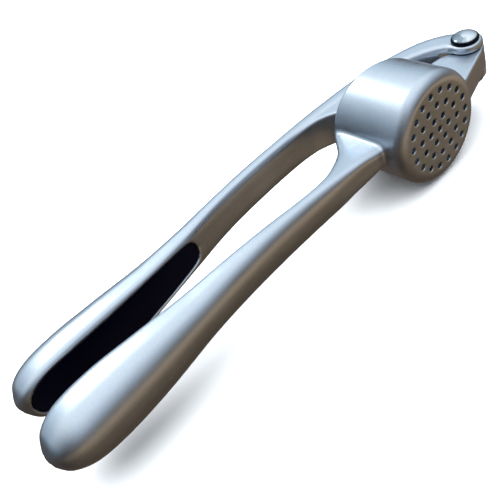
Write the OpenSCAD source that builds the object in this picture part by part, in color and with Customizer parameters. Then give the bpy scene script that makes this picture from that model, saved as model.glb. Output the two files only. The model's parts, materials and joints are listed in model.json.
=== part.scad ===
// Two-handled garlic press, lying on its side with the handles closed.
// Working frame inside the modules: the centre of the perforated face is the origin,
// +X runs from there to the hinge, +Y from the lower casting to the lever, +Z along the hinge pin.
// Every sub-part is then moved by place(), so the finished origin is the bottom centre of its box.

/* [Show] */
// Sub-part to draw

/* [Chamber] */
// Outside radius of the round chamber
chamber_r = 19; // [15:0.5:24]
// Height of the rim on the chamber axis
rim_mid = 24.6; // [20:0.2:30]
// Slope of the rim, which is lowest beside the hinge
rim_tilt = 15; // [0:0.5:25]
// Radius of the chamber bore
bore_r = 16.1; // [13:0.1:21]
// Thickness of the perforated floor
floor_t = 2.8; // [2:0.1:4]
// Rounding between the perforated face and the wall
foot_round = 3.8; // [1:0.1:5]
// Taper of the outside wall, measured at the highest point of the rim
wall_draft = 0.3; // [0:0.1:0.6]
// Radius of each pressing hole
hole_r = 1.0; // [0.7:0.05:1.3]
// Radial pitch of the rings of holes
hole_pitch = 4.45; // [3.5:0.05:5]
// Number of rings of holes around the middle one
hole_rings = 3; // [2:1:3]
// Angle of the first hole in every ring
hole_turn = 3; // [0:1:30]
// Size of the chamfer on the outside edge of each hole
hole_chamfer = 0.25; // [0.1:0.05:0.4]

/* [Hinge] */
// Distance of the hinge pin from the chamber axis
hinge_x = 37.2; // [34:0.1:42]
// Height of the hinge pin above the perforated face
hinge_y = 16.0; // [12:0.1:18]
// Radius of the hinge lug of the lower casting
lug_r = 5.9; // [5:0.1:8]
// Side view of the lug, from inside the chamber wall round to the hinge and back
lug_side = [[12, 3.0], [21.3, 4.2], [36.8, 9.2], [41.2, 11.8], [37.2, 16.0], [33.6, 20.4],
            [31.7, 19.2], [28.6, 20.8], [25, 21.5], [21.5, 21.3], [12, 20.6]]; // fixed
// Half thickness of the hinge lug
lug_half = 4.6; // [3:0.1:5]
// Radius of each eye of the lever fork
eye_r = 5.9; // [5:0.1:8]
// Half width over both eyes of the lever fork
eye_half = 7.4; // [6:0.1:8]
// Rounding on the outer edge of each eye
eye_round = 1.2; // [0.3:0.1:1.5]
// Gap between the lug and each fork arm
fork_gap = 0.25; // [0.15:0.05:0.5]
// Radius of the slot in the fork, about the hinge pin
fork_slot_r = 9.6; // [8.6:0.1:11]
// Radius of the hinge pin
pin_r = 2.45; // [2:0.05:3]
// Radial running clearance of the hinge pin in the lug
pin_clear = 0.05; // [0.02:0.01:0.1]
// Radial interference of the pressed pins
press_bite = 0.02; // [0.01:0.01:0.03]
// Radius of the domed pin heads
dome_r = 4.9; // [4:0.1:5.5]
// Height of the domed pin heads
dome_h = 1.8; // [1.5:0.1:4]
// Height of the upright edge under each dome
dome_edge = 0.5; // [0.2:0.1:1]
// Depth of the blind hole in the loose pin head
cap_depth = 1.4; // [1:0.1:2]

/* [Plunger] */
// Radius of the plunger at its pressing face
plunger_r = 14.1; // [12:0.1:15.5]
// Radius of the plunger at its back face
plunger_back_r = 13.4; // [11:0.1:14.5]
// Thickness of the plunger plate
plunger_t = 3.2; // [2:0.1:4]
// Gap between the closed plunger and the chamber floor
plunger_gap = 0.4; // [0.3:0.1:1]
// Half length of the plunger hub along the handles
hub_half_x = 6.2; // [4:0.1:8]
// Half width of the plunger hub along the pin
hub_half_z = 6; // [4.5:0.1:7]
// Height of the plunger hub above the plate
hub_h = 8; // [6:0.1:10]
// Half thickness of the tongue held in the hub
tongue_half = 2.8; // [2:0.1:3.5]
// Gap between the tongue and the hub slot
tongue_gap = 0.1; // [0.05:0.05:0.3]
// Radius of the cross pin through hub and tongue
cross_pin_r = 1.5; // [1:0.05:2]
// Height of the cross pin above the plunger plate
cross_pin_up = 4.4; // [3:0.1:6]
// Distance of the plunger hub from the chamber axis, towards the handles
hub_shift = -1.6; // [-3:0.1:0]

/* [Lever] */
// Stations from the free end to the hinge: inner x and y, outer x and y, half width,
// squareness in and out, share of the section height on the inner side of its widest line
lever_stations = [
    [-151.0, 32.6, -151.0, 33.8, 0.6, 3.0, 2.3, 0.42],
    [-150.1, 30.4, -150.1, 35.8, 2.8, 4.0, 2.3, 0.42],
    [-147.2, 27.9, -147.2, 39.3, 6.1, 5.0, 2.3, 0.42],
    [-141.0, 27.2, -141.0, 40.9, 8.5, 5.5, 2.3, 0.42],
    [-130.5, 27.3, -130.5, 41.4, 9.4, 5.5, 2.3, 0.42],
    [-116.0, 28.3, -116.0, 41.2, 8.9, 5.5, 2.3, 0.42],
    [-98.0, 30.6, -98.0, 41.0, 7.5, 5.5, 2.3, 0.42],
    [-82.0, 33.3, -82.0, 41.6, 6.8, 5.0, 2.3, 0.42],
    [-66.0, 36.2, -66.0, 42.8, 6.6, 4.0, 2.3, 0.42],
    [-50.0, 37.6, -50.0, 44.0, 6.5, 4.0, 2.3, 0.42],
    [-34.0, 38.0, -34.0, 44.3, 6.4, 4.0, 2.3, 0.42],
    [-20.0, 37.6, -19.5, 44.3, 6.4, 4.5, 2.4, 0.42],
    [-8.0, 36.4, -6.5, 43.6, 6.5, 5.0, 2.5, 0.42],
    [4.0, 34.8, 6.5, 41.8, 6.7, 5.5, 2.8, 0.42],
    [15.0, 31.6, 19.5, 38.4, 7.0, 6.0, 3.0, 0.42],
    [22.8, 27.0, 29.6, 34.8, 7.3, 6.0, 3.0, 0.42],
    [27.4, 23.4, 36.4, 30.4, 7.4, 6.0, 3.2, 0.42],
    [30.2, 20.2, 41.4, 24.4, 7.4, 6.0, 3.4, 0.42],
    [31.3, 17.2, 43.0, 17.6, 7.4, 6.0, 3.6, 0.42]
];
// Edge of the plunger web on the handle side, from the lever down to the tongue
web_far_edge = [[-32, 38.6], [-25, 37.7], [-21, 37.1], [-17.5, 35.9], [-14.5, 34.1],
                [-12.2, 31.6], [-10.6, 28.2], [-9.6, 24], [-8.6, 18]]; // fixed
// Edge of the plunger web on the hinge side, from the lever down to the tongue
web_near_edge = [[19, 33], [15, 33.3], [11, 33.1], [7.8, 31.8], [5.6, 29.4], [4.6, 26], [4.4, 18]]; // fixed
// Line inside the lever that closes the web
web_root = [[19, 36], [0, 40], [-20, 41], [-32, 41]]; // fixed
// Half length of the tongue along the handles
tongue_half_x = 5.6; // [4:0.1:7]
// Half thickness of the web above the tongue
web_half = 6.2; // [5:0.1:6.5]

/* [Lower handle] */
// Stations from the free end to the chamber, in the same order as for the lever
lower_stations = [
    [-154.2, 10.0, -154.2, 8.8, 0.6, 3.0, 2.3, 0.42],
    [-153.4, 12.0, -153.4, 5.8, 2.8, 4.0, 2.3, 0.42],
    [-150.4, 14.8, -150.4, 2.5, 6.3, 5.0, 2.3, 0.42],
    [-143.5, 16.2, -143.5, 0.5, 9.0, 5.5, 2.3, 0.42],
    [-131.5, 16.5, -131.5, 0.7, 9.8, 5.5, 2.3, 0.42],
    [-116.0, 15.9, -116.0, 2.3, 9.0, 5.5, 2.3, 0.42],
    [-98.0, 15.4, -98.0, 5.0, 7.5, 5.5, 2.3, 0.42],
    [-82.0, 15.2, -82.0, 6.8, 7.1, 5.0, 2.3, 0.42],
    [-66.0, 14.6, -66.0, 7.8, 6.8, 4.0, 2.3, 0.42],
    [-50.0, 13.4, -50.0, 8.0, 6.2, 4.0, 2.4, 0.42],
    [-40.0, 14.0, -40.0, 7.9, 5.7, 4.0, 2.9, 0.5],
    [-33.0, 16.6, -33.0, 8.0, 5.1, 4.5, 4.0, 0.58],
    [-27.0, 20.2, -27.0, 7.8, 4.6, 5.0, 5.0, 0.63],
    [-22.4, 25.2, -22.4, 7.4, 4.1, 6.0, 5.0, 0.65],
    [-19.6, 28.4, -19.6, 7.2, 3.9, 6.0, 5.0, 0.66],
    [-17.0, 28.9, -17.0, 7.2, 3.8, 6.0, 5.0, 0.66]
];

/* [Inserts] */
// Outline of half an insert, distance from the chamber axis and half width, from chamber end to free end
insert_outline = [[79.5, 0], [80.2, 2.5], [82.5, 4.3], [90, 5.2], [104, 6.1], [118, 6.8], [130, 7.2],
                  [138, 7], [143, 5.9], [146, 4], [147.4, 1.8], [147.8, 0]]; // fixed
// Depth of the pocket that holds each insert
insert_depth = 2.4; // [1.5:0.1:4]
// How far each insert sits below the casting face
insert_recess = 0.3; // [0.1:0.1:0.8]
// Gap between an insert and its pocket wall
insert_gap = 0.05; // [0.02:0.01:0.1]
// Extra distance of the lower insert from the chamber axis
lower_insert_shift = 3; // [0:0.5:4]

/* [Smoothness] */
// Points around each handle section
ring_points = 24; // [16:4:40]
// Sections between two stations
ring_steps = 4; // [2:1:8]
// Facets on the turned features
round_fn = 72; // [48:12:144]
// Facets on the pressing holes and the cross pin
hole_fn = 24; // [16:4:48]

/* [Hidden] */
quarter = 90;
full_turn = 360;
free_end_x = lower_stations[0][0];
hinge_end_x = hinge_x + eye_r;
crown_y = max([for (s = stations(lever_stations, ring_steps)) for (p = section(s, ring_points)) p[1]]);
mid_x = (free_end_x + hinge_end_x) / 2;
mid_y = crown_y / 2;
rim_top = rim_mid + chamber_r * tan(rim_tilt) + 1;
fork_half = lug_half + fork_gap;
plunger_y = floor_t + plunger_gap;
hub_y = plunger_y + plunger_t;
tongue_top = web_far_edge[len(web_far_edge) - 1][1];
hub_gap = 1;
pocket_x = -70;
plan_depth = 4 * crown_y;
cross_pin_y = hub_y + cross_pin_up;
edge_steps = 4;
eps = 0.01;
past = 1;
dome_ball = (dome_r * dome_r + dome_h * dome_h) / (2 * dome_h);

module place() translate([-mid_x, -mid_y, chamber_r]) children();

// Turn a shape drawn about Z so that its axis runs along +Y.
module along_y() rotate([-quarter, 0, 0]) children();

// Smooth curve through four rows of numbers, at t between the middle two.
function blend4(a, b, c, d, t) =
    b + t * (c - a) / 2 + t * t * (a - 2.5 * b + 2 * c - d / 2) + t * t * t * (1.5 * (b - c) + (d - a) / 2);

function smooth(rows) = [
    for (i = [0 : len(rows) - 2], k = [0 : edge_steps - 1])
        blend4(at(rows, i - 1), rows[i], rows[i + 1], at(rows, i + 2), k / edge_steps),
    rows[len(rows) - 1]
];

function at(rows, i) = rows[max(0, min(len(rows) - 1, i))];

function stations(rows, steps) = [
    for (i = [0 : len(rows) - 2], k = [0 : steps - 1])
        blend4(at(rows, i - 1), rows[i], rows[i + 1], at(rows, i + 2), k / steps),
    rows[len(rows) - 1]
];

function power(v, n) = sign(v) * pow(abs(v), 2 / n);

// One closed section: flat towards the other handle, rounded on the back.
function section(s, count) = [
    for (k = [0 : count - 1])
        let (
            turn = full_turn * (k + 0.5) / count,
            square = sin(turn) > 0 ? s[5] : s[6],
            reach = sin(turn) > 0 ? -s[7] : 1 - s[7],
            u = s[7] + reach * pow(abs(sin(turn)), 2 / square),
            z = s[4] * power(cos(turn), square)
        )
        [s[0] + (s[2] - s[0]) * u, s[1] + (s[3] - s[1]) * u, z]
];

// Solid through all the sections of a handle.
module loft(rows) {
    rings = stations(rows, ring_steps);
    n = ring_points;
    last = len(rings) - 1;
    points = [for (r = rings) each section(r, n)];
    flip = rows[0][3] < rows[0][1];
    sides = [
        for (i = [0 : last - 1], k = [0 : n - 1])
            let (a = i * n + k, b = i * n + (k + 1) % n, c = b + n, d = a + n)
            each flip ? [[a, b, c], [a, c, d]] : [[a, c, b], [a, d, c]]
    ];
    forward = [for (k = [0 : n - 1]) k];
    backward = [for (k = [n - 1 : -1 : 0]) k];
    ends = flip
        ? [backward, [for (k = forward) last * n + k]]
        : [forward, [for (k = backward) last * n + k]];
    polyhedron(points = points, faces = concat(sides, ends));
}

// Side view of the space over an insert, from above the face down to depth.
module insert_band(rows, top, depth) {
    rings = [for (s = stations(rows, ring_steps)) if (s[0] < pocket_x) s];
    linear_extrude(height = 2 * chamber_r, center = true)
        polygon(concat(
            [for (s = rings) [s[0], s[1] + top]],
            [for (i = [len(rings) - 1 : -1 : 0]) [rings[i][0], rings[i][1] + depth]]
        ));
}

// Plan of an insert, seen across the gap between the handles.
module insert_plan(gap, shift) {
    last = len(insert_outline) - 1;
    half = [
        for (i = [0 : last])
            let (p = insert_outline[i], pull = i == 0 ? gap : i == last ? -gap : 0)
            [-(p[0] + shift + pull), max(0, p[1] - gap)]
    ];
    rotate([quarter, 0, 0])
        linear_extrude(height = plan_depth, center = true)
            polygon(concat(half, [for (i = [last - 1 : -1 : 1]) [half[i][0], -half[i][1]]]));
}

module insert_body(rows, facing, gap, top, shift) {
    intersection() {
        insert_band(rows, facing * top, facing * -insert_depth);
        insert_plan(gap, shift);
    }
}

module hinge_cylinder(r, half)
    translate([hinge_x, hinge_y, -half]) cylinder(h = 2 * half, r = r, $fn = round_fn);

// Ring of round section, standing on the axis at the given radius and height.
module round_ring(r, tube, height)
    translate([0, 0, height])
        rotate_extrude($fn = 2 * round_fn) translate([r, 0]) circle(r = tube, $fn = round_fn);

// Outside of the chamber, turned about the Y axis and cut to the sloping rim.
module chamber_outside() {
    along_y() difference() {
        union() {
            cylinder(h = rim_top, r = chamber_r - foot_round, $fn = 2 * round_fn);
            round_ring(chamber_r - foot_round, foot_round, foot_round);
            translate([0, 0, foot_round]) cylinder(
                h = rim_top - foot_round, r1 = chamber_r, r2 = chamber_r - wall_draft, $fn = 2 * round_fn
            );
        }
        translate([0, 0, rim_mid]) rotate([0, rim_tilt, 0])
            translate([-2 * chamber_r, -2 * chamber_r, 0]) cube([4 * chamber_r, 4 * chamber_r, chamber_r]);
    }
}

module pressing_holes() {
    along_y() for (ring = [0 : hole_rings]) {
        count = max(1, 6 * ring);
        for (i = [0 : count - 1])
            rotate([0, 0, hole_turn + full_turn * i / count])
                translate([ring * hole_pitch, 0, 0]) {
                    translate([0, 0, -past]) cylinder(h = floor_t + 2 * past, r = hole_r, $fn = hole_fn);
                    translate([0, 0, -eps]) cylinder(
                        h = hole_chamfer + eps, r1 = hole_r + hole_chamfer + eps, r2 = hole_r, $fn = hole_fn
                    );
                }
    }
}

module lug() {
    hinge_cylinder(lug_r, lug_half);
    linear_extrude(height = 2 * lug_half, center = true) polygon(lug_side);
}

module lower_casting() {
    color([0.74, 0.75, 0.77]) place() difference() {
        union() {
            chamber_outside();
            lug();
            loft(lower_stations);
        }
        along_y() translate([0, 0, floor_t]) cylinder(h = rim_top, r = bore_r, $fn = 2 * round_fn);
        pressing_holes();
        hinge_cylinder(pin_r + pin_clear, chamber_r);
        insert_body(lower_stations, 1, 0, chamber_r / 2, lower_insert_shift);
    }
}

// Web that hangs from the lever and ends in the tongue of the plunger.
module web() {
    far = smooth(web_far_edge);
    near = smooth(web_near_edge);
    linear_extrude(height = 2 * web_half, center = true)
        polygon(concat(far, [for (i = [len(near) - 1 : -1 : 0]) near[i]], web_root));
    translate([hub_shift - tongue_half_x, hub_y + hub_gap, -tongue_half])
        cube([2 * tongue_half_x, tongue_top - hub_y - hub_gap + past, 2 * tongue_half]);
}

// Round boss with rounded edges at both ends of the fork.
module eye() translate([hinge_x, hinge_y, 0]) {
    translate([0, 0, -eye_half]) cylinder(h = 2 * eye_half, r = eye_r - eye_round, $fn = round_fn);
    translate([0, 0, eye_round - eye_half])
        cylinder(h = 2 * (eye_half - eye_round), r = eye_r, $fn = round_fn);
    for (side = [-1, 1]) round_ring(eye_r - eye_round, eye_round, side * (eye_half - eye_round));
}

module lever_casting() {
    color([0.76, 0.77, 0.79]) place() difference() {
        union() {
            loft(lever_stations);
            eye();
            web();
        }
        hinge_cylinder(fork_slot_r, fork_half);
        hinge_cylinder(pin_r - press_bite, chamber_r);
        translate([hub_shift, cross_pin_y, -chamber_r])
            cylinder(h = 2 * chamber_r, r = cross_pin_r - press_bite, $fn = hole_fn);
        insert_body(lever_stations, -1, 0, chamber_r / 2, 0);
    }
}

module plunger() {
    color([0.66, 0.67, 0.69]) place() difference() {
        union() {
            along_y() translate([0, 0, plunger_y])
                cylinder(h = plunger_t, r1 = plunger_r, r2 = plunger_back_r, $fn = 2 * round_fn);
            translate([hub_shift - hub_half_x, hub_y - past, -hub_half_z])
                cube([2 * hub_half_x, hub_h + past, 2 * hub_half_z]);
        }
        translate([hub_shift - hub_half_x - past, hub_y + past / 2, -tongue_half - tongue_gap])
            cube([2 * hub_half_x + 2 * past, hub_h + past, 2 * (tongue_half + tongue_gap)]);
        translate([hub_shift, cross_pin_y, -chamber_r])
            cylinder(h = 2 * chamber_r, r = cross_pin_r - press_bite, $fn = hole_fn);
    }
}

module plunger_pin() {
    color([0.6, 0.61, 0.63]) place()
        translate([hub_shift, cross_pin_y, -hub_half_z])
            cylinder(h = 2 * hub_half_z, r = cross_pin_r, $fn = hole_fn);
}

// Domed head with a short upright edge, standing on the plane z = 0.
module dome() {
    cylinder(h = dome_edge, r = dome_r, $fn = round_fn);
    translate([0, 0, dome_edge]) intersection() {
        translate([0, 0, dome_h - dome_ball]) sphere(r = dome_ball, $fn = round_fn);
        cylinder(h = 2 * dome_h, r = dome_r + past, $fn = round_fn);
    }
}

module hinge_pin() {
    color([0.86, 0.87, 0.89]) place() translate([hinge_x, hinge_y, 0]) {
        translate([0, 0, eye_half]) dome();
        translate([0, 0, -eye_half - cap_depth])
            cylinder(h = 2 * eye_half + cap_depth + past, r = pin_r, $fn = round_fn);
    }
}

module hinge_cap() {
    color([0.86, 0.87, 0.89]) place()
        translate([hinge_x, hinge_y, -eye_half]) mirror([0, 0, 1]) difference() {
            dome();
            translate([0, 0, -past]) cylinder(h = cap_depth + past, r = pin_r - press_bite, $fn = round_fn);
        }
}

module lower_insert() {
    color([0.03, 0.03, 0.035]) place()
        insert_body(lower_stations, 1, insert_gap, -insert_recess, lower_insert_shift);
}

module lever_insert() {
    color([0.03, 0.03, 0.035]) place() insert_body(lever_stations, -1, insert_gap, -insert_recess, 0);
}

lower_casting();
lever_casting();
plunger();
plunger_pin();
hinge_pin();
hinge_cap();
lower_insert();
lever_insert();
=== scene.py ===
"""Looks of the two-handled garlic press.

The castings, the plunger, the pins and the inserts are rebuilt as smooth surfaces with real fillets.
Each shape is a signed distance in millimetres, in the press frame of the CAD: the origin is the middle of the
perforated face, +X runs to the hinge, +Y to the lever and +Z along the hinge pin.
"""

import json
import math

import bpy
import numpy as np
from mathutils import Matrix, Vector


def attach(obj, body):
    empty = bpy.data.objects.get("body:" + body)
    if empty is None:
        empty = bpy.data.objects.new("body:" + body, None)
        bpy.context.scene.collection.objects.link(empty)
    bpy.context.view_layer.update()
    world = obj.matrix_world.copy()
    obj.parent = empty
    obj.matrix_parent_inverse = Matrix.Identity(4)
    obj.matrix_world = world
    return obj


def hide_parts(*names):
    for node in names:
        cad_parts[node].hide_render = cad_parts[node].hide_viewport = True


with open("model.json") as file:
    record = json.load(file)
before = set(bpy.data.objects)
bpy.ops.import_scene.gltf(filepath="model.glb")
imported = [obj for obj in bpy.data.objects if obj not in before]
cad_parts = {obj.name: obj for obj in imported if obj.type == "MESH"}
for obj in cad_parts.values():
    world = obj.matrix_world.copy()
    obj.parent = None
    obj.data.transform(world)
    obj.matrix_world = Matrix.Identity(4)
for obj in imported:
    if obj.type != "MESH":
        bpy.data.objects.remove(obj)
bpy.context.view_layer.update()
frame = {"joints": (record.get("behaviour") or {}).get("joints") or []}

MM = 0.001
FAR = 50.0  # more than any distance in the object
CURVE_STEPS = 24  # steps between two stations of a handle
EDGE_STEPS = 6  # steps between two points of an outline

# Names that end in _START or _REACH say which slabs of a grid can hold a feature at all.

# Chamber
CHAMBER_R = 19.0
RIM_MID = 24.6  # height of the sloping rim on the chamber's axis
RIM_TILT = math.radians(15)
BORE_R = 16.1
FLOOR_T = 2.8
FOOT_ROUND = 3.8
RIM_ROUND = 0.8
WALL_DRAFT = 0.3
BORE_CORNER = 1.0  # between the bore and the pressing floor
BORE_EDGE = 1.0  # where the bore opens at the rim
ROOT_FILLET = 1.6  # between the chamber and the lower handle
ROOT_REACH = 12.0
HOLE_R = 1.0
HOLE_EDGE = 0.3
HOLE_PITCH = 4.45
HOLE_RINGS = 3
HOLE_TURN = math.radians(3)

# Hinge
HINGE = (37.2, 16.0)
LUG_R = 5.9
LUG_HALF = 4.6
LUG_SIDE = [(12, 3.0), (21.3, 4.2), (36.8, 9.2), (41.2, 11.8), (37.2, 16.0), (33.6, 20.4),
            (31.7, 19.2), (28.6, 20.8), (25, 21.5), (21.5, 21.3), (12, 20.6)]
LUG_START = 8.0
LUG_ROUND = 0.7
LUG_BLEND = 0.5  # between the sides of the lug and its round end
LUG_FILLET = 2.4  # between the lug and the chamber
EYE_R = 5.9
EYE_HALF = 7.4
EYE_START = 10.0
EYE_ROUND = 1.2
EYE_FILLET = 1.0
FORK_HALF = 4.85
FORK_SLOT_R = 9.6
FORK_EDGE = 0.5
PIN_R = 2.45
PIN_CLEAR = 0.05
DOME_R = 4.9
DOME_H = 2.3
DOME_LIP = 0.4
DOME_FULL = 0.95  # below 1 the dome is fuller than an ellipse
DOME_STEPS = 24
LIP_FOOT = [(0.0, DOME_LIP), (0.12, 0.2), (0.5, 0.0)]  # distance in from the rim, and height
CAP_SHAFT = 0.5  # pin under the far cap
RIVET_SHADE_SHIFT = (-0.15, -0.1)
RIVET_SHADE_SPAN = (0.80, 0.89)  # from clear to dark, as shares of the dome's radius

# Plunger
PLUNGER_R = 14.1
PLUNGER_BACK_R = 13.4
PLUNGER_Y = (3.2, 6.4)  # front and back of the plate
PLATE_ROUND = 0.4
HUB_X = -1.6
HUB_HALF = (6.2, 6.0)
HUB_TOP = 14.4
HUB_CORNER = 1.0  # upright corners of the hub
HUB_ROUND = 0.8
HUB_FILLET = 1.6
SLOT_FOOT = 0.5  # from the plate to the foot of the slot
SLOT_EDGE = 0.4
TONGUE_HALF = (5.6, 2.8)
TONGUE_GAP = 0.1
TONGUE_FOOT = 7.4
CROSS_PIN_Y = 10.8
CROSS_PIN_R = 1.5
PIN_CHAMFER = 0.25

# Web under the lever's arch, a little thinner where it starts, so that its sides flow out of the lever's
WEB_HALF = 6.2
WEB_FOOT = 18.0
WEB_START = -34.0
WEB_ROUND = 0.9
WEB_FILLET = 0.6
WEB_OVERLAP = 2.0  # of the tongue into the web
WEB_THIN = 0.6
WEB_THIN_END = -18.0
WEB_THIN_LENGTH = 14.0

# Stations of each handle: inner x and y, outer x and y, half width, squareness in and out,
# share of the height on the inner side of the widest line
LEVER = [
    (-151.0, 32.6, -151.0, 33.8, 0.6, 3.0, 2.3, 0.42),
    (-150.1, 30.4, -150.1, 35.8, 2.8, 4.0, 2.3, 0.42),
    (-147.2, 27.9, -147.2, 39.3, 6.1, 5.0, 2.3, 0.42),
    (-141.0, 27.2, -141.0, 40.9, 8.5, 5.5, 2.3, 0.42),
    (-130.5, 27.3, -130.5, 41.4, 9.4, 5.5, 2.3, 0.42),
    (-116.0, 28.3, -116.0, 41.2, 8.9, 5.5, 2.3, 0.42),
    (-98.0, 30.6, -98.0, 41.0, 7.5, 5.5, 2.3, 0.42),
    (-82.0, 33.3, -82.0, 41.6, 6.8, 5.0, 2.3, 0.42),
    (-66.0, 36.2, -66.0, 42.8, 6.6, 4.0, 2.3, 0.42),
    (-50.0, 37.6, -50.0, 44.0, 6.5, 4.0, 2.3, 0.42),
    (-34.0, 38.0, -34.0, 44.3, 6.4, 4.0, 2.3, 0.42),
    (-20.0, 37.6, -19.5, 44.3, 6.4, 4.5, 2.4, 0.42),
    (-8.0, 36.4, -6.5, 43.6, 6.5, 5.0, 2.5, 0.42),
    (4.0, 34.8, 6.5, 41.8, 6.7, 5.5, 2.8, 0.42),
    (15.0, 31.6, 19.5, 38.4, 7.0, 6.0, 3.0, 0.42),
    (22.8, 27.0, 29.6, 34.8, 7.3, 6.0, 3.0, 0.42),
    (27.4, 23.4, 36.4, 30.4, 7.4, 6.0, 3.2, 0.42),
    (30.2, 20.2, 41.4, 24.4, 7.4, 6.0, 3.4, 0.42),
    (31.3, 17.2, 43.0, 17.6, 7.4, 6.0, 3.6, 0.42),
]
LOWER = [
    (-154.2, 10.0, -154.2, 8.8, 0.6, 3.0, 2.3, 0.42),
    (-153.4, 12.0, -153.4, 5.8, 2.8, 4.0, 2.3, 0.42),
    (-150.4, 14.8, -150.4, 2.5, 6.3, 5.0, 2.3, 0.42),
    (-143.5, 16.2, -143.5, 0.5, 9.0, 5.5, 2.3, 0.42),
    (-131.5, 16.5, -131.5, 0.7, 9.8, 5.5, 2.3, 0.42),
    (-116.0, 15.9, -116.0, 2.3, 9.0, 5.5, 2.3, 0.42),
    (-98.0, 15.4, -98.0, 5.0, 7.5, 5.5, 2.3, 0.42),
    (-82.0, 15.2, -82.0, 6.8, 7.1, 5.0, 2.3, 0.42),
    (-66.0, 14.6, -66.0, 7.8, 6.8, 4.0, 2.3, 0.42),
    (-50.0, 13.4, -50.0, 8.0, 6.2, 4.0, 2.4, 0.42),
    (-40.0, 14.0, -40.0, 7.9, 5.7, 4.0, 2.9, 0.5),
    (-33.0, 16.6, -33.0, 8.0, 5.1, 4.5, 4.0, 0.58),
    (-27.0, 20.2, -27.0, 7.8, 4.6, 5.0, 5.0, 0.63),
    (-22.4, 25.2, -22.4, 7.4, 4.1, 6.0, 5.0, 0.65),
    (-19.6, 28.4, -19.6, 7.2, 3.9, 6.0, 5.0, 0.66),
    (-17.0, 28.9, -17.0, 7.2, 3.8, 6.0, 5.0, 0.66),
]
WEB_FAR = [(-32, 38.6), (-25, 37.7), (-21, 37.1), (-17.5, 35.9), (-14.5, 34.1),
           (-12.2, 31.6), (-10.6, 28.2), (-9.6, 24), (-8.6, 18)]
WEB_NEAR = [(19, 33), (15, 33.3), (11, 33.1), (7.8, 31.8), (5.6, 29.4), (4.6, 26), (4.4, 18)]
WEB_ROOT = [(19, 36), (0, 40), (-20, 41), (-32, 41)]

# Inserts: distance from the chamber axis and half width
INSERT = [(79.5, 0), (80.2, 2.5), (82.5, 4.3), (90, 5.2), (104, 6.1), (118, 6.8),
          (130, 7.2), (138, 7), (143, 5.9), (146, 4), (147.4, 1.8), (147.8, 0)]
INSERT_DEPTH = 2.4
INSERT_RECESS = 0.3
INSERT_GAP = 0.05
INSERT_ROUND = 0.5
INSERT_CROWN = 0.25  # fall of the face, INSERT_CROWN_HALF to the side of its middle line
INSERT_CROWN_HALF = 7.0
LOWER_INSERT_SHIFT = 3.0
POCKET_START = -70.0
POCKET_EDGE = 0.5

# Stage, in metres
FLOOR_SIDE = 6.0
FLOOR_DROP = 0.0003
BACKDROP_R = 5.0
BACKDROP_SINK = 0.05
BACKDROP_RINGS, BACKDROP_SPOKES = 12, 48

# Camera, in metres
CAMERA_PLACE = (-0.09433, -0.15948, 0.16717)
CAMERA_RIGHT = (0.6977, -0.6474, -0.3066)
CAMERA_UP = (0.6285, 0.348, 0.6956)
CAMERA_BACK = (-0.3437, -0.6781, 0.6497)
SENSOR_MM, LENS_MM = 36.0, 54.0
NEAR_CLIP = 0.01

# Sockets of a Mix node that mixes colours
MIX_SHARE, MIX_A, MIX_B, MIX_OUT = 0, 6, 7, 2

# The press frame's origin and the middle of the rivet's shade, in metres
joint = frame["joints"][0]
PLACE = Vector(joint["pos_m"]) - Vector((HINGE[0], HINGE[1], 0)) * MM
RIVET_SHADE = [joint["pos_m"][i] + RIVET_SHADE_SHIFT[i] * MM for i in (0, 1)]


# ---------- distances ----------

def soft_min(a, b, k):
    """Union of two distances, with a fillet about k wide."""
    h = np.maximum(k - np.abs(a - b), 0) / k
    return np.minimum(a, b) - h * h * k / 4


def soft_max(a, b, k):
    """Intersection of two distances, with an edge rounded over about k."""
    return -soft_min(-a, -b, k)


def curve(rows, steps):
    """The rows joined by a smooth curve through all of them."""
    rows = np.array(rows, float)
    out = []
    for i in range(len(rows) - 1):
        a, b, c, d = rows[max(i - 1, 0)], rows[i], rows[i + 1], rows[min(i + 2, len(rows) - 1)]
        for t in np.arange(steps) / steps:
            out.append(b + t * (c - a) / 2 + t * t * (a - 2.5 * b + 2 * c - d / 2)
                       + t ** 3 * (1.5 * (b - c) + (d - a) / 2))
    out.append(rows[-1])
    return np.array(out)


def outline(points, x, y):
    """Signed distance from a closed outline in a plane, for arrays x and y."""
    best = np.full(x.shape, FAR * FAR)
    inside = np.zeros(x.shape, bool)
    for (ax, ay), (bx, by) in zip(points, np.roll(points, -1, axis=0)):
        ex, ey = bx - ax, by - ay
        if ex == 0 and ey == 0:
            continue
        t = np.clip(((x - ax) * ex + (y - ay) * ey) / (ex * ex + ey * ey), 0, 1)
        best = np.minimum(best, (x - ax - t * ex) ** 2 + (y - ay - t * ey) ** 2)
        if ay != by:
            inside ^= ((ay > y) != (by > y)) & (x < (by * ax - ay * bx + y * (bx - ax)) / (by - ay))
    return np.where(inside, -1, 1) * np.sqrt(best)


def rounded(a, b, r):
    """Intersection of two distances whose common edge is a true arc of radius r."""
    return np.hypot(np.maximum(a + r, 0), np.maximum(b + r, 0)) + np.minimum(np.maximum(a, b) + r, 0) - r


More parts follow.
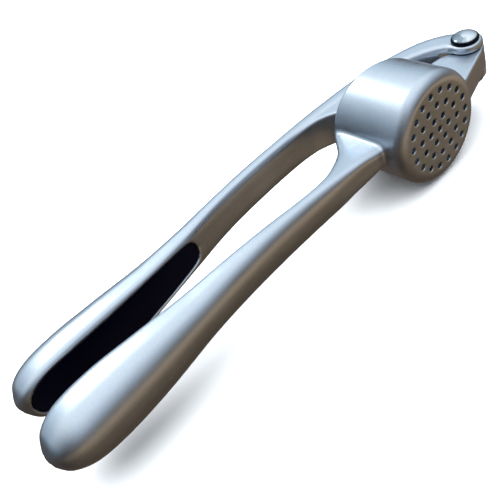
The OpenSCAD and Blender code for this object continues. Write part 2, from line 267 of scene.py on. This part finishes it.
def handle(rows, x, y):
    """For each column at x, y of a handle: place across the section, its half height and half width,
    the squareness there, and how far the column is past the last station."""
    s = curve(rows, CURVE_STEPS)
    across = s[:, 2:4] - s[:, 0:2]
    tilted = np.abs(across[:, 0]) > 1e-6
    first = int(np.argmax(tilted)) if tilted.any() else len(s)
    straight = s[:first]
    key = straight[:, 0]
    at = [np.interp(x, key, straight[:, i]) for i in (1, 3, 4, 5, 6, 7)]
    u = (y - at[0]) / (at[1] - at[0])
    height = np.abs(at[1] - at[0])
    half, sq_in, sq_out, share = at[2:]
    past = np.maximum(key[0] - x, x - key[-1])
    if tilted.any():
        # beyond the straight part, each column is placed between the two tilted sections on either side of it
        bend = s[first - CURVE_STEPS // 2:]
        ahead = x > key[-1]
        px, py = x[ahead], y[ahead]
        best = np.full(px.shape, FAR)
        place = np.zeros(px.shape)
        u_best = np.full(px.shape, FAR)
        step = bend[:, 2:4] - bend[:, 0:2]
        side = [step[i, 0] * (py - bend[i, 1]) - step[i, 1] * (px - bend[i, 0]) for i in range(len(bend))]
        for i in range(len(bend) - 1):
            crossed = (side[i] <= 0) != (side[i + 1] <= 0)
            t = side[i] / np.where(crossed, side[i] - side[i + 1], 1)
            origin = bend[i, 0:2] + np.multiply.outer(t, bend[i + 1, 0:2] - bend[i, 0:2])
            d = step[i] + np.multiply.outer(t, step[i + 1] - step[i])
            v = ((px - origin[:, 0]) * d[:, 0] + (py - origin[:, 1]) * d[:, 1]) / (d * d).sum(1)
            good = crossed & (np.abs(v - 0.5) < best)
            best = np.where(good, np.abs(v - 0.5), best)
            place = np.where(good, i + t, place)
            u_best = np.where(good, v, u_best)
        index = np.arange(len(bend))
        length = np.linalg.norm(step, axis=1)
        u[ahead] = u_best
        height[ahead] = np.interp(place, index, length)
        for target, column in ((half, 4), (sq_in, 5), (sq_out, 6), (share, 7)):
            target[ahead] = np.interp(place, index, bend[:, column])
        beyond = bend[-1][1] - py
        past[ahead] = np.where(best >= FAR, FAR, np.where(px > HINGE[0] - FORK_SLOT_R, beyond, -FAR))
    inner = u < share
    v = np.where(inner, (share - u) / share, (u - share) / (1 - share))
    reach = np.where(inner, share, 1 - share) * height
    return [a[:, :, None] for a in (v, reach, half, np.where(inner, sq_in, sq_out), past)]


def handle_distance(place, z):
    """Distance of a handle, from what handle() says about each column."""
    v, reach, half, n, past = place
    w = np.abs(z) / half
    g = np.maximum(v ** n + w ** n, 1e-9) ** (1 / n)
    slope = np.hypot((v / g) ** (n - 1) / reach, (w / g) ** (n - 1) / half)
    return np.maximum((g - 1) / np.maximum(slope, 1e-3), past)


def insert_outline(shift, gap):
    """Closed outline of an insert in x and z, drawn in by a gap all round."""
    half = curve(INSERT, EDGE_STEPS)
    half = half[half[:, 1] >= 0]
    upper = np.stack([-(half[:, 0] + shift), half[:, 1]], 1)
    middle = upper[:, 0].mean()
    shrink = 1 - gap / (abs(upper[0, 0] - upper[-1, 0]) / 2)
    upper[:, 0] = middle + (upper[:, 0] - middle) * shrink
    upper[:, 1] = np.maximum(upper[:, 1] - gap, 0)
    return np.concatenate([upper, (upper * (1, -1))[-2:0:-1]])


def inner_face(rows, x):
    """Height of the face of a handle that looks to the other handle."""
    s = curve(rows, CURVE_STEPS)
    return np.interp(x, s[:, 0], s[:, 1])


# ---------- surface of a distance ----------

def spread(*spans):
    """Grid lines along one axis, from (start, end, step) spans that follow each other."""
    lines = []
    for start, end, step in spans:
        count = max(1, round((end - start) / step))
        lines.extend(start + (end - start) * i / count for i in range(count))
    return np.array(lines + [spans[-1][1]])


def surface(name, distance, xs, ys, zs):
    """The mesh of the zero level of a distance on a grid: one point in each crossed cell."""
    values = np.concatenate([distance(part, ys, zs) for part in np.array_split(xs, max(1, len(xs) // 40))])
    inside = values < 0
    shape = [n - 1 for n in values.shape]
    count = np.zeros(shape, np.int8)
    for i in (0, 1):
        for j in (0, 1):
            for k in (0, 1):
                count += inside[i:shape[0] + i, j:shape[1] + j, k:shape[2] + k]
    cells = np.argwhere((count > 0) & (count < 8))
    index = np.full(shape, -1, np.int32)
    index[tuple(cells.T)] = np.arange(len(cells))
    lines = (xs, ys, zs)
    total = np.zeros((len(cells), 3))
    found = np.zeros(len(cells))
    for axis in range(3):
        others = [a for a in range(3) if a != axis]
        for p in (0, 1):
            for q in (0, 1):
                start = cells.copy()
                start[:, others[0]] += p
                start[:, others[1]] += q
                stop = start.copy()
                stop[:, axis] += 1
                a, b = values[tuple(start.T)], values[tuple(stop.T)]
                hit = (a < 0) != (b < 0)
                t = np.where(hit, a / np.where(hit, a - b, 1), 0)
                point = np.stack([lines[n][start[:, n]] for n in range(3)], 1)
                point[:, axis] += t * (lines[axis][stop[:, axis]] - lines[axis][start[:, axis]])
                total += np.where(hit[:, None], point, 0)
                found += hit
    points = total / found[:, None]
    faces = []
    for axis in range(3):
        b, c = (axis + 1) % 3, (axis + 2) % 3
        low, high = [slice(None)] * 3, [slice(None)] * 3
        low[axis], high[axis] = slice(0, -1), slice(1, None)
        a_in, b_in = inside[tuple(low)], inside[tuple(high)]
        edges = np.argwhere(a_in != b_in)
        kept = (edges[:, b] > 0) & (edges[:, b] < shape[b]) & (edges[:, c] > 0) & (edges[:, c] < shape[c])
        edges = edges[kept]
        outward = a_in[tuple(edges.T)]
        around = []
        for db, dc in ((-1, -1), (0, -1), (0, 0), (-1, 0)):
            cell = edges.copy()
            cell[:, b] += db
            cell[:, c] += dc
            around.append(index[tuple(cell.T)])
        quad = np.stack(around, 1)
        quad[~outward] = quad[~outward][:, ::-1]
        faces.append(quad)
    return mesh_piece(name, points, np.concatenate(faces))


def add(name, data):
    """A new object in the scene."""
    obj = bpy.data.objects.new(name, data)
    bpy.context.scene.collection.objects.link(obj)
    return obj


def mesh_piece(name, points, faces):
    """A smooth mesh object from points in the press frame."""
    mesh = bpy.data.meshes.new(name)
    place = np.array(points) * MM + np.array(PLACE)
    mesh.from_pydata(place.tolist(), [], [list(f) for f in faces])
    mesh.polygons.foreach_set("use_smooth", [True] * len(mesh.polygons))
    mesh.update()
    return add(name, mesh)


def turned(name, profile, centre, segments=96):
    """A body of revolution about a line along Z, from (radius, z) points that start and end on the axis."""
    points, faces, rings = [], [], []
    for r, z in profile:
        if r < 1e-6:
            rings.append([len(points)])
            points.append((centre[0], centre[1], z))
            continue
        ring = []
        for i in range(segments):
            a = 2 * math.pi * i / segments
            ring.append(len(points))
            points.append((centre[0] + r * math.cos(a), centre[1] + r * math.sin(a), z))
        rings.append(ring)
    for low, high in zip(rings, rings[1:]):
        for i in range(segments):
            j = (i + 1) % segments
            if len(low) == 1:
                faces.append((low[0], high[j], high[i]))
            elif len(high) == 1:
                faces.append((low[i], low[j], high[0]))
            else:
                faces.append((low[i], low[j], high[j], high[i]))
    return mesh_piece(name, points, faces)


# ---------- castings ----------

def columns(xs, ys):
    """Two arrays with the place of each column of a grid."""
    return np.meshgrid(xs, ys, indexing="ij")


def hole_places():
    """Centres of the holes, in rings about the middle one."""
    places = [(0.0, 0.0)]
    for ring in range(1, HOLE_RINGS + 1):
        for i in range(6 * ring):
            a = HOLE_TURN + 2 * math.pi * i / (6 * ring)
            places.append((ring * HOLE_PITCH * math.cos(a), -ring * HOLE_PITCH * math.sin(a)))
    return places


def chamber(x, y, z):
    """The outside of the chamber: a slightly drafted cup with a sloping rim."""
    r = np.hypot(x, z)
    wall = r - CHAMBER_R + WALL_DRAFT * np.clip(y / RIM_MID, 0, 1)
    rim = x * math.sin(RIM_TILT) + (y - RIM_MID) * math.cos(RIM_TILT)
    outside = rounded(wall, -y, FOOT_ROUND)
    return rounded(outside, rim, RIM_ROUND)


def bore(x, y, z):
    """The space inside the chamber."""
    return rounded(np.hypot(x, z) - BORE_R, FLOOR_T - y, BORE_CORNER)


def grid_axes(xs, ys, zs):
    """The lines of a grid as arrays that combine into the whole grid."""
    return xs[:, None, None], ys[None, :, None], zs[None, None, :]


def with_pocket(body, xs, y, zs, rows, facing, shift):
    """The body with the pocket of an insert cut into the handle's inner face."""
    if xs[0] < POCKET_START:
        px, pz = columns(xs, zs)
        plan = outline(insert_outline(shift, 0), px, pz)[:, None, :]
        under = -facing * (y - inner_face(rows, xs)[:, None, None]) - INSERT_DEPTH
        body = soft_max(body, -np.maximum(plan, under), POCKET_EDGE)
    return body.astype(np.float32)


def lower_distance(xs, ys, zs):
    """The lower casting: handle, chamber, lug, bores, holes and the pocket of its insert."""
    x, y, z = grid_axes(xs, ys, zs)
    cx, cy = columns(xs, ys)
    body = handle_distance(handle(LOWER, cx, cy), z)
    if xs[-1] > -CHAMBER_R - ROOT_REACH:
        body = soft_min(body, chamber(x, y, z), ROOT_FILLET)
    if xs[-1] > LUG_START:
        from_pin = np.hypot(cx - HINGE[0], cy - HINGE[1])[:, :, None]
        side = outline(np.array(LUG_SIDE, float), cx, cy)[:, :, None]
        side = soft_min(side, from_pin - LUG_R, LUG_BLEND)
        lug = rounded(side, np.abs(z) - LUG_HALF, LUG_ROUND)
        body = soft_min(body, lug, LUG_FILLET)
        # the fillet must keep out of the space that the fork sweeps
        body = np.where(from_pin < FORK_SLOT_R, np.maximum(body, np.abs(z) - LUG_HALF), body)
        body = soft_max(body, PIN_R + PIN_CLEAR - from_pin, HOLE_EDGE)
    if xs[-1] > -CHAMBER_R:
        body = soft_max(body, -bore(x, y, z), BORE_EDGE)
        hx, hz = columns(xs, zs)
        nearest = np.full(hx.shape, FAR)
        for px, pz in hole_places():
            nearest = np.minimum(nearest, np.hypot(hx - px, hz - pz))
        drilled = HOLE_R - nearest[:, None, :]
        low = y < FLOOR_T + 1
        body = np.where(low, soft_max(body, np.where(low, drilled, -FAR), HOLE_EDGE), body)
    return with_pocket(body, xs, y, zs, LOWER, 1, LOWER_INSERT_SHIFT)


def web_side():
    """Closed side outline of the web that carries the plunger."""
    far, near = curve(WEB_FAR, EDGE_STEPS), curve(WEB_NEAR, EDGE_STEPS)
    return np.concatenate([far, near[::-1], np.array(WEB_ROOT, float)])


def lever_distance(xs, ys, zs):
    """The lever casting: handle and arch, web with its tongue, fork, and the pocket of its insert."""
    x, y, z = grid_axes(xs, ys, zs)
    cx, cy = columns(xs, ys)
    body = handle_distance(handle(LEVER, cx, cy), z)
    if xs[-1] > WEB_START:
        thin = WEB_THIN * np.clip((WEB_THIN_END - x) / WEB_THIN_LENGTH, 0, 1)
        web = rounded(outline(web_side(), cx, cy)[:, :, None], np.abs(z) - WEB_HALF + thin, WEB_ROUND)
        body = soft_min(body, web, WEB_FILLET)
        tongue = np.maximum(np.abs(x - HUB_X) - TONGUE_HALF[0], np.abs(z) - TONGUE_HALF[1])
        tongue = np.maximum(tongue, np.maximum(TONGUE_FOOT - y, y - WEB_FOOT - WEB_OVERLAP))
        body = soft_min(body, tongue, WEB_FILLET)
    if xs[-1] > EYE_START:
        from_pin = np.hypot(cx - HINGE[0], cy - HINGE[1])[:, :, None]
        eye = rounded(from_pin - EYE_R, np.abs(z) - EYE_HALF, EYE_ROUND)
        body = soft_min(body, eye, EYE_FILLET)
        body = np.maximum(body, np.abs(z) - EYE_HALF)
        body = soft_max(body, -np.maximum(from_pin - FORK_SLOT_R, np.abs(z) - FORK_HALF), FORK_EDGE)
    return with_pocket(body, xs, y, zs, LEVER, -1, 0)


def insert_distance(rows, facing, shift):
    """The distance function of an insert: a slightly crowned face, below the face of its handle."""
    plan_points = insert_outline(shift, INSERT_GAP)

    def distance(xs, ys, zs):
        _, y, z = grid_axes(xs, ys, zs)
        px, pz = columns(xs, zs)
        plan = outline(plan_points, px, pz)[:, None, :]
        height = facing * (y - inner_face(rows, xs)[:, None, None])
        top = height + INSERT_RECESS + INSERT_CROWN * (np.abs(z) / INSERT_CROWN_HALF) ** 2
        cx, cy = columns(xs, ys)
        inside = handle_distance(handle(rows, cx, cy), z) + INSERT_RECESS
        body = rounded(np.maximum(plan, inside), top, INSERT_ROUND)
        return np.maximum(body, -height - INSERT_DEPTH).astype(np.float32)
    return distance


def plunger_distance(xs, ys, zs):
    """The plunger: a slightly tapered plate, and a hub with a slot for the tongue."""
    x, y, z = grid_axes(xs, ys, zs)
    front, back = PLUNGER_Y
    r = PLUNGER_R + (PLUNGER_BACK_R - PLUNGER_R) * np.clip((y - front) / (back - front), 0, 1)
    plate = rounded(np.hypot(x, z) - r, np.abs(y - (front + back) / 2) - (back - front) / 2, PLATE_ROUND)
    sides = rounded(np.abs(x - HUB_X) - HUB_HALF[0], np.abs(z) - HUB_HALF[1], HUB_CORNER)
    hub = rounded(sides, np.maximum(y - HUB_TOP, front + 1 - y), HUB_ROUND)
    body = soft_min(plate, hub, HUB_FILLET)
    slot = np.maximum(np.abs(z) - TONGUE_HALF[1] - TONGUE_GAP, back + SLOT_FOOT - y)
    return soft_max(body, -slot, SLOT_EDGE).astype(np.float32)


# Each grid has a little air round its piece. It is fine where holes and edges are, and coarse along the grips.
DETAIL = 1.0
FINE, MEDIUM, COARSE = 0.22 * DETAIL, 0.3 * DETAIL, 0.8 * DETAIL

lower = surface(
    "lower_casting_body", lower_distance,
    spread((-155, -140, MEDIUM), (-140, -34, COARSE), (-34, -15.4, MEDIUM),
           (-15.4, 15.4, FINE), (15.4, 43.8, MEDIUM)),
    spread((-0.8, 3.4, FINE), (3.4, 30.8, MEDIUM)),
    spread((-19.8, -15.4, MEDIUM), (-15.4, 15.4, FINE), (15.4, 19.8, MEDIUM)))
lever = surface(
    "lever_casting_body", lever_distance,
    spread((-152, -137, MEDIUM), (-137, -34, COARSE), (-34, 43.8, MEDIUM)),
    spread((7.0, 45.2, MEDIUM)),
    spread((-10.2, 10.2, MEDIUM)))
plunger = surface(
    "plunger_body", plunger_distance,
    spread((-14.8, 14.8, MEDIUM)), spread((2.8, 15.2, MEDIUM)), spread((-14.8, 14.8, MEDIUM)))
lower_grip = surface(
    "lower_insert_body", insert_distance(LOWER, 1, LOWER_INSERT_SHIFT),
    spread((-151.8, -146, FINE), (-146, -86, COARSE), (-86, -81.5, FINE)),
    spread((11.5, 17.5, FINE)), spread((-8, 8, MEDIUM)))
lever_grip = surface(
    "lever_insert_body", insert_distance(LEVER, -1, 0),
    spread((-148.8, -143, FINE), (-143, -83, COARSE), (-83, -78.5, FINE)),
    spread((26.4, 37.4, FINE)), spread((-8, 8, MEDIUM)))


def dome_profile(base, facing, shaft):
    """Half section of a domed pin head that stands on the plane z = base."""
    turns = [math.pi / 2 * i / DOME_STEPS for i in range(DOME_STEPS)]
    dome = [(DOME_R * math.sin(t) ** DOME_FULL, DOME_LIP + (DOME_H - DOME_LIP) * math.cos(t)) for t in turns]
    lip = [(DOME_R - inward, height) for inward, height in LIP_FOOT]
    points = dome + lip + [(PIN_R, 0.0), (PIN_R, -shaft), (0, -shaft)]
    points = [(r, base + facing * h) for r, h in points]
    return points if facing < 0 else points[::-1]


rivet = turned("hinge_rivet", dome_profile(EYE_HALF, 1, 2 * EYE_HALF), HINGE)
cap = turned("hinge_rivet_cap", dome_profile(-EYE_HALF, -1, CAP_SHAFT), HINGE)
pin_end = HUB_HALF[1]
cross_pin = turned("plunger_cross_pin", [
    (0, -pin_end), (CROSS_PIN_R - PIN_CHAMFER, -pin_end), (CROSS_PIN_R, -pin_end + PIN_CHAMFER),
    (CROSS_PIN_R, pin_end - PIN_CHAMFER), (CROSS_PIN_R - PIN_CHAMFER, pin_end), (0, pin_end)],
    (HUB_X, CROSS_PIN_Y), 48)


# ---------- materials ----------

def colour_ramp(tree, value, stops):
    """Colours at places from 0 to 1 along a value."""
    made = tree.nodes.new("ShaderNodeValToRGB")
    ramp = made.color_ramp
    ramp.elements[0].position, ramp.elements[0].color = stops[0]
    ramp.elements[1].position, ramp.elements[1].color = stops[-1]
    for place, colour in stops[1:-1]:
        ramp.elements.new(place).color = colour
    tree.links.new(value, made.inputs["Fac"])
    return made.outputs["Color"]


def map_range(tree, value, start, end, low=0.0, high=1.0):
    """A value that runs from start to end, turned into one that runs from low to high."""
    made = tree.nodes.new("ShaderNodeMapRange")
    made.inputs["From Min"].default_value = start
    made.inputs["From Max"].default_value = end
    made.inputs["To Min"].default_value = low
    made.inputs["To Max"].default_value = high
    tree.links.new(value, made.inputs["Value"])
    return made.outputs["Result"]


def colour_mix(tree, a, b, share, blend="MIX"):
    """Two colours mixed, by a constant share or by a value."""
    made = tree.nodes.new("ShaderNodeMix")
    made.data_type, made.blend_type = "RGBA", blend
    if isinstance(share, float):
        made.inputs[MIX_SHARE].default_value = share
    else:
        tree.links.new(share, made.inputs[MIX_SHARE])
    tree.links.new(a, made.inputs[MIX_A])
    tree.links.new(b, made.inputs[MIX_B])
    return made.outputs[MIX_OUT]


class Graph:
    """A node material whose colour, gloss and bump are built from object coordinates."""

    def __init__(self, name):
        self.material = bpy.data.materials.new(name)
        self.material.use_nodes = True
        self.tree = self.material.node_tree
        self.shader = self.tree.nodes["Principled BSDF"]
        self.place = self.tree.nodes.new("ShaderNodeTexCoord").outputs["Object"]

    def node(self, kind, **values):
        made = self.tree.nodes.new(kind)
        for key, value in values.items():
            setattr(made, key, value)
        return made

    def link(self, a, b):
        self.tree.links.new(a, b)

    def noise(self, scale, detail=4.0, rough=0.6, stretch=(1, 1, 1)):
        grid = self.node("ShaderNodeMapping")
        grid.inputs["Scale"].default_value = stretch
        self.link(self.place, grid.inputs["Vector"])
        made = self.node("ShaderNodeTexNoise")
        made.inputs["Scale"].default_value = scale
        made.inputs["Detail"].default_value = detail
        made.inputs["Roughness"].default_value = rough
        self.link(grid.outputs[0], made.inputs["Vector"])
        return made.outputs["Fac"]

    def ramp(self, value, *stops):
        return colour_ramp(self.tree, value, stops)

    def span(self, value, start, end, low=0.0, high=1.0):
        return map_range(self.tree, value, start, end, low, high)

    def math(self, operation, a, b):
        made = self.node("ShaderNodeMath", operation=operation)
        for socket, value in zip(made.inputs, (a, b)):
            if isinstance(value, (int, float)):
                socket.default_value = value
            else:
                self.link(value, socket)
        return made.outputs[0]

    def multiply(self, a, b, share):
        """The colour a multiplied by b, in part."""
        return colour_mix(self.tree, a, b, share, "MULTIPLY")

    def from_hinge(self):
        """Distance in metres from a line just beside that of the hinge pin."""
        grid = self.node("ShaderNodeMapping")
        grid.inputs["Location"].default_value = (-RIVET_SHADE[0], -RIVET_SHADE[1], 0)
        grid.inputs["Scale"].default_value = (1, 1, 0)
        self.link(self.place, grid.inputs["Vector"])
        made = self.node("ShaderNodeVectorMath", operation="LENGTH")
        self.link(grid.outputs[0], made.inputs[0])
        return made.outputs["Value"]

    def bump(self, height, distance, strength, before=None):
        made = self.node("ShaderNodeBump")
        made.inputs["Distance"].default_value = distance
        made.inputs["Strength"].default_value = strength
        self.link(height, made.inputs["Height"])
        if before is not None:
            self.link(before, made.inputs["Normal"])
        return made.outputs["Normal"]

    def set(self, **values):
        for key, value in values.items():
            socket = self.shader.inputs[key.replace("_", " ")]
            if isinstance(value, (int, float, tuple)):
                socket.default_value = value
            else:
                self.link(value, socket)


def satin_metal(name, dark, light, rough, grain, coat):
    """Pearl-plated zinc: a fine even grain over a slightly wavy casting, with faint handling marks."""
    g = Graph(name)
    blotch = g.noise(42.0, 5.0, 0.6)
    fine = g.noise(2600.0, 3.0, 0.7)
    wavy = g.noise(90.0, 2.0, 0.5)
    marks = g.noise(420.0, 3.0, 0.75, (0.12, 1.0, 1.0))
    mixed = g.math("ADD", g.math("MULTIPLY", blotch, 0.4), g.math("MULTIPLY", fine, 0.6))
    colour = g.ramp(mixed, (0.38, (*dark, 1)), (0.62, (*light, 1)))
    gloss = g.math("ADD", g.span(blotch, 0.3, 0.7, rough - 0.04, rough + 0.05),
                   g.span(marks, 0.35, 0.7, -0.04, 0.05))
    waves = g.bump(wavy, 0.0004, 0.08)
    scratches = g.bump(marks, 0.00005, 0.08, waves)
    normal = g.bump(fine, 0.00008, grain, scratches)
    g.set(Base_Color=colour, Roughness=gloss, Normal=normal, Metallic=1.0,
          Coat_Weight=coat, Coat_Roughness=0.12)
    return g.material


def polished_metal(name, painted_reflection=0.0):
    """Polished steel: smears, hair lines and, on a dome, painted reflection patches and a painted dark line of
    shade round its foot.
    """
    g = Graph(name)
    smear = g.noise(160.0, 5.0, 0.65)
    hair = g.noise(900.0, 2.0, 0.6, (1.0, 0.06, 1.0))
    colour = g.ramp(smear, (0.3, (0.66, 0.69, 0.74, 1)), (0.7, (0.78, 0.81, 0.86, 1)))
    if painted_reflection:
        # painted reflection: the dome's colour is darkened to blue-grey between bright patches
        cloud = g.ramp(g.noise(230.0, 1.0, 0.4), (0.45, (0.24, 0.31, 0.38, 1)), (0.56, (1, 1, 1, 1)))
        # painted shade: a dark ring round the foot of the dome, centred a little off the pin's line
        start, end = (share * DOME_R * MM for share in RIVET_SHADE_SPAN)
        foot = g.span(g.from_hinge(), start, end)
        shade = g.ramp(foot, (0.0, (1, 1, 1, 1)), (1.0, (0.02, 0.02, 0.035, 1)))
        colour = g.multiply(g.multiply(colour, cloud, painted_reflection), shade, 1.0)
    g.set(Base_Color=colour, Metallic=1.0, Roughness=g.span(smear, 0.3, 0.7, 0.05, 0.12),
          Normal=g.bump(hair, 0.00002, 0.12))
    return g.material


def dark_grip(name):
    """Smooth near-black insert with a faint moulded grain."""
    g = Graph(name)
    cloud = g.noise(60.0, 4.0, 0.6)
    grain = g.noise(1500.0, 3.0, 0.6)
    colour = g.ramp(cloud, (0.3, (0.0004, 0.0004, 0.004, 1)), (0.7, (0.001, 0.001, 0.007, 1)))
    g.set(Base_Color=colour, Roughness=g.span(cloud, 0.3, 0.7, 0.30, 0.42),
          Normal=g.bump(grain, 0.00005, 0.2), Specular_IOR_Level=0.09)
    return g.material


satin = satin_metal("satin_plate", (0.555, 0.61, 0.69), (0.64, 0.70, 0.785), 0.33, 0.35, 0.6)
plain = satin_metal("plain_plate", (0.40, 0.40, 0.41), (0.50, 0.50, 0.51), 0.42, 0.16, 0.2)
chrome = polished_metal("polished_plate", 0.8)
steel = polished_metal("steel_wire")
black = dark_grip("black_insert")

for piece, body, nodes, slot, material in (
        (lower, "base", ["lower_casting"], "satin_casting", satin),
        (lever, "lever", ["lever_casting"], "satin_casting", satin),
        (plunger, "lever", ["plunger"], "plain_casting", plain),
        (cross_pin, "lever", ["plunger_pin"], "steel_pin", steel),
        (rivet, "lever", ["hinge_pin"], "polished_pin", chrome),
        (cap, "lever", ["hinge_cap"], "polished_pin", chrome),
        (lower_grip, "base", ["lower_insert"], "dark_insert", black),
        (lever_grip, "lever", ["lever_insert"], "dark_insert", black)):
    piece.data.materials.append(material)
    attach(piece, body)
    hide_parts(*nodes)


# ---------- floor, light and camera ----------

def floor_material():
    """Pale matt paper with faint clouds."""
    g = Graph("pale_floor")
    cloud = g.noise(9.0, 4.0, 0.5)
    g.set(Base_Color=g.ramp(cloud, (0.3, (0.90, 0.90, 0.905, 1)), (0.7, (0.93, 0.93, 0.93, 1))),
          Roughness=0.8, Specular_IOR_Level=0.15)
    return g.material


floor_mesh = bpy.data.meshes.new("floor")
floor_mesh.from_pydata(
    [(FLOOR_SIDE * i, FLOOR_SIDE * j, 0) for i, j in ((-1, -1), (1, -1), (1, 1), (-1, 1))], [], [(0, 1, 2, 3)])
floor = add("floor", floor_mesh)
floor.location.z = -FLOOR_DROP
floor_mesh.materials.append(floor_material())
floor.visible_glossy = False


def backdrop_material():
    """Plain pale glow, the same from every side."""
    material = bpy.data.materials.new("pale_backdrop")
    material.use_nodes = True
    shader = material.node_tree.nodes["Principled BSDF"]
    shader.inputs["Base Color"].default_value = (0, 0, 0, 1)
    shader.inputs["Emission Color"].default_value = (0.93, 0.94, 0.95, 1)
    shader.inputs["Emission Strength"].default_value = 1.0
    return material


def backdrop_mesh():
    """Half a globe over the stage, from just under the floor up to its top."""
    points, faces = [], []
    for i in range(BACKDROP_RINGS):
        rise = math.pi / 2 * i / BACKDROP_RINGS
        for j in range(BACKDROP_SPOKES):
            turn = 2 * math.pi * j / BACKDROP_SPOKES
            reach = BACKDROP_R * math.cos(rise)
            points.append((reach * math.cos(turn), reach * math.sin(turn),
                           BACKDROP_R * math.sin(rise) - BACKDROP_SINK))
            low = [i * BACKDROP_SPOKES + k for k in (j, (j + 1) % BACKDROP_SPOKES)]
            if i < BACKDROP_RINGS - 1:
                faces.append((low[0], low[1], low[1] + BACKDROP_SPOKES, low[0] + BACKDROP_SPOKES))
            else:
                faces.append((low[0], low[1], BACKDROP_RINGS * BACKDROP_SPOKES))
    points.append((0, 0, BACKDROP_R - BACKDROP_SINK))
    mesh = bpy.data.meshes.new("backdrop")
    mesh.from_pydata(points, [], faces)
    mesh.materials.append(backdrop_material())
    return mesh


# seen by the camera but not by the metal
backdrop = add("backdrop", backdrop_mesh())
backdrop.visible_glossy = False
backdrop.visible_diffuse = False
backdrop.visible_shadow = False
backdrop.visible_transmission = False


def area(name, place, target, size, power, colour):
    """A rectangular light at a place, aimed at a target."""
    lamp = bpy.data.lights.new(name, "AREA")
    lamp.shape = "RECTANGLE"
    lamp.size, lamp.size_y = size
    lamp.energy = power
    lamp.color = colour
    obj = add(name, lamp)
    obj.location = place
    obj.rotation_euler = (Vector(target) - Vector(place)).to_track_quat("-Z", "Y").to_euler()
    return obj


# the overhead light only fills the floor; the softbox is what the metal mirrors
area("top_light", (0.05, 0.2, 0.9), (0, 0, 0), (1.9, 1.9), 34.0, (0.97, 0.98, 1.0)).visible_glossy = False
area("softbox", (0.0, 0.62, 0.62), (0, 0, 0.02), (0.3, 0.22), 1.0, (0.93, 0.98, 1.0))


def studio_world():
    """Cool bright sky behind and above, a darker front that dims to the left, warm brown under the horizon."""
    world = bpy.data.worlds.new("studio")
    bpy.context.scene.world = world
    world.use_nodes = True
    tree = world.node_tree
    back = tree.nodes["Background"]
    direction = tree.nodes.new("ShaderNodeTexCoord").outputs["Generated"]
    split = tree.nodes.new("ShaderNodeSeparateXYZ")
    tree.links.new(direction, split.inputs[0])
    x, y, z = split.outputs

    height = map_range(tree, z, -1, 1)
    front = colour_ramp(tree, height, [
        (0.0, (0.068, 0.048, 0.031, 1)), (0.2, (0.09, 0.066, 0.043, 1)), (0.38, (0.43, 0.31, 0.195, 1)),
        (0.5, (0.08, 0.073, 0.067, 1)), (0.62, (0.18, 0.19, 0.2, 1)), (0.8, (0.44, 0.50, 0.55, 1)),
        (1.0, (0.85, 0.93, 1.0, 1))])
    dim_left = colour_ramp(tree, map_range(tree, x, -0.8, -0.25), [
        (0.0, (0.42, 0.42, 0.44, 1)), (1.0, (1, 1, 1, 1))])
    behind = colour_ramp(tree, height, [
        (0.0, (0.07, 0.05, 0.035, 1)), (0.46, (0.10, 0.10, 0.105, 1)), (0.6, (0.30, 0.37, 0.43, 1)),
        (0.76, (0.57, 0.69, 0.78, 1)), (0.86, (0.86, 0.96, 1.0, 1)), (1.0, (0.94, 1.0, 1.0, 1))])
    front = colour_mix(tree, front, dim_left, 1.0, "MULTIPLY")
    sky = colour_mix(tree, front, behind, map_range(tree, y, -0.5, 0.5))
    tree.links.new(sky, back.inputs["Color"])
    tree.links.new(map_range(tree, x, -0.9, -0.3, 0.75, 1.3), back.inputs["Strength"])


studio_world()

lens = bpy.data.cameras.new("camera")
lens.sensor_width = SENSOR_MM
lens.lens = LENS_MM
lens.clip_start = NEAR_CLIP
camera = add("camera", lens)
turn = Matrix((CAMERA_RIGHT, CAMERA_UP, CAMERA_BACK)).transposed().to_4x4()
camera.matrix_world = Matrix.Translation(CAMERA_PLACE) @ turn
bpy.context.scene.camera = camera
bpy.context.scene.view_settings.view_transform = "Standard"
